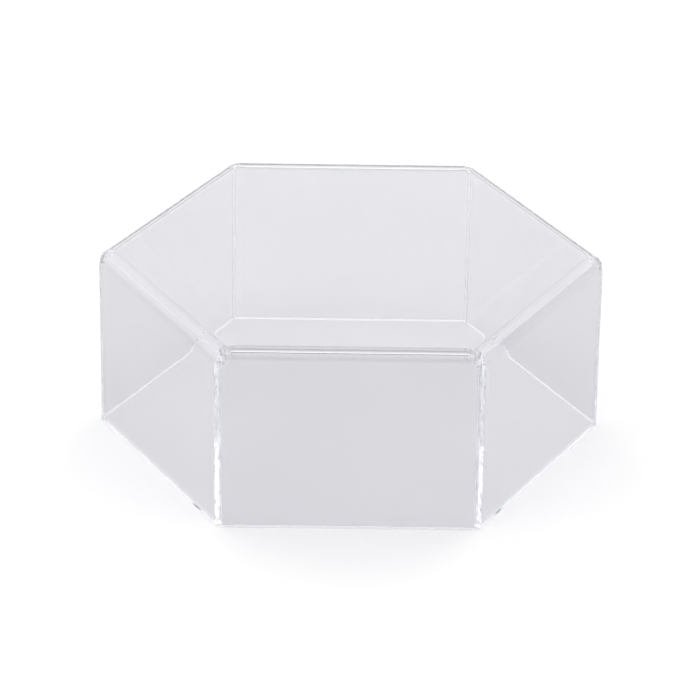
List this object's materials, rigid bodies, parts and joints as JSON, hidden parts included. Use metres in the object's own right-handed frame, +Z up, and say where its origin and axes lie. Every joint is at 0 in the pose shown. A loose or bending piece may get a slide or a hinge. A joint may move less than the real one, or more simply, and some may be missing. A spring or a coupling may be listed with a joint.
{
  "type": "display riser",
  "caption": "Clear hexagonal display riser folded from flat acrylic sheet, with cemented corner seams and an open underside.",
  "frame": {"origin": "centre of the hexagonal footprint, on the surface the riser stands on", "axes": "+Z up, out of the deck; +X towards one corner of the hexagon; the front flap faces -Y"},
  "size_m": [0.2012, 0.176, 0.0762],
  "materials": {
    "clear_acrylic": "polished, clear",
    "cured_cement": "glossy, clear with fine bubbles"
  },
  "bodies": {
    "root": {"folded_sheet": "clear_acrylic", "corner_cement_right": "cured_cement", "corner_cement_back_right": "cured_cement", "corner_cement_back_left": "cured_cement", "corner_cement_left": "cured_cement", "corner_cement_front_left": "cured_cement", "corner_cement_front_right": "cured_cement"}
  },
  "joints": []
}
